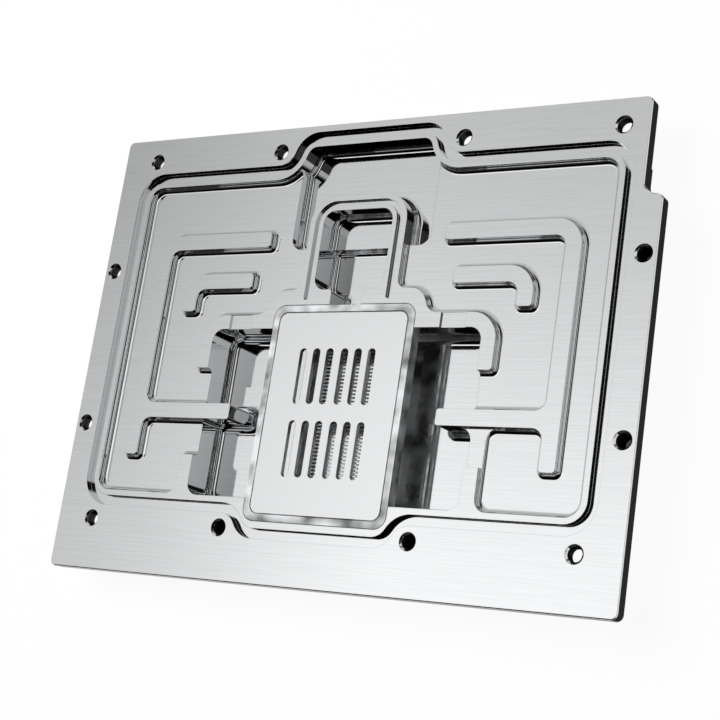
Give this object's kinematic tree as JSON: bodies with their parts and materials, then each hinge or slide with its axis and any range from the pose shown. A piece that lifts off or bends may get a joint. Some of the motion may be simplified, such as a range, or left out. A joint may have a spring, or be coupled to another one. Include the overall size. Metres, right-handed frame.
{
  "type": "liquid cooling cold plate",
  "caption": "Flat machined cold plate with its cover off: seal groove, branching channel ribs, deep finned core pocket under a slotted flow plate in a clear carrier, tapped rim.",
  "frame": {"origin": "centre of the outline, on the chip contact face", "axes": "+X along the long side, +Y towards the outlet bulge, +Z out of the channel side"},
  "size_m": [0.15, 0.1116, 0.0112],
  "materials": {
    "plated_base": "bright plated",
    "clear_carrier": "clear moulded",
    "flow_plate": "satin"
  },
  "bodies": {
    "root": {"base_plate": "plated_base", "jet_plate_frame": "clear_carrier", "jet_plate": "flow_plate"}
  },
  "joints": []
}
